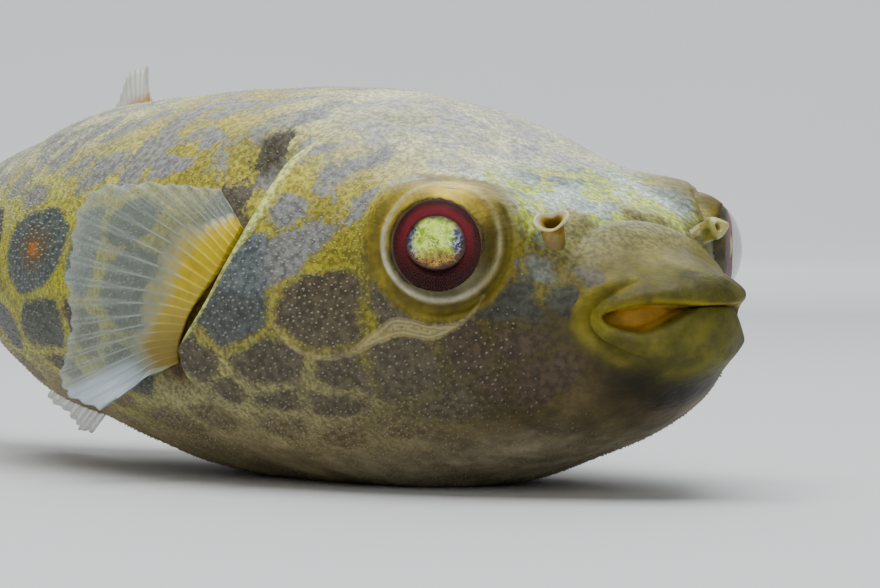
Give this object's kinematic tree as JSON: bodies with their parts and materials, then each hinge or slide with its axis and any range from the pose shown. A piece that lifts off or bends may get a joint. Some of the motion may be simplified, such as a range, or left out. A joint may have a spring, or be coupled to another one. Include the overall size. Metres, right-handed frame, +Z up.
{
  "type": "freshwater pufferfish",
  "caption": "Life-size still model of a freshwater pufferfish lying on its belly: broad head, thick lips, bulging red eyes and fanned pectoral fins.",
  "frame": {"origin": "centre of the bounding box at the level the belly rests on", "axes": "+X towards the snout, +Y to the fish's left, +Z up"},
  "size_m": [0.1324, 0.0484, 0.0343],
  "materials": {
    "head": "moist satin",
    "upper_lip": "moist satin",
    "lower_lip": "moist satin",
    "trunk": "moist satin",
    "tail_stem": "moist satin",
    "tail_fin": "moist satin",
    "dorsal_fin": "moist satin",
    "anal_fin": "moist satin",
    "pectoral_fin_right": "moist satin",
    "pectoral_fin_left": "moist satin",
    "eye_right": "wet gloss",
    "eye_left": "wet gloss",
    "nostril_right": "moist satin",
    "nostril_left": "moist satin"
  },
  "bodies": {
    "root": {"head": "head", "upper_lip": "upper_lip", "lower_lip": "lower_lip", "trunk": "trunk", "tail_stem": "tail_stem", "tail_fin": "tail_fin", "dorsal_fin": "dorsal_fin", "anal_fin": "anal_fin", "pectoral_fin_right": "pectoral_fin_right", "pectoral_fin_left": "pectoral_fin_left", "eye_right": "eye_right", "eye_left": "eye_left", "nostril_right": "nostril_right", "nostril_left": "nostril_left"}
  },
  "joints": []
}
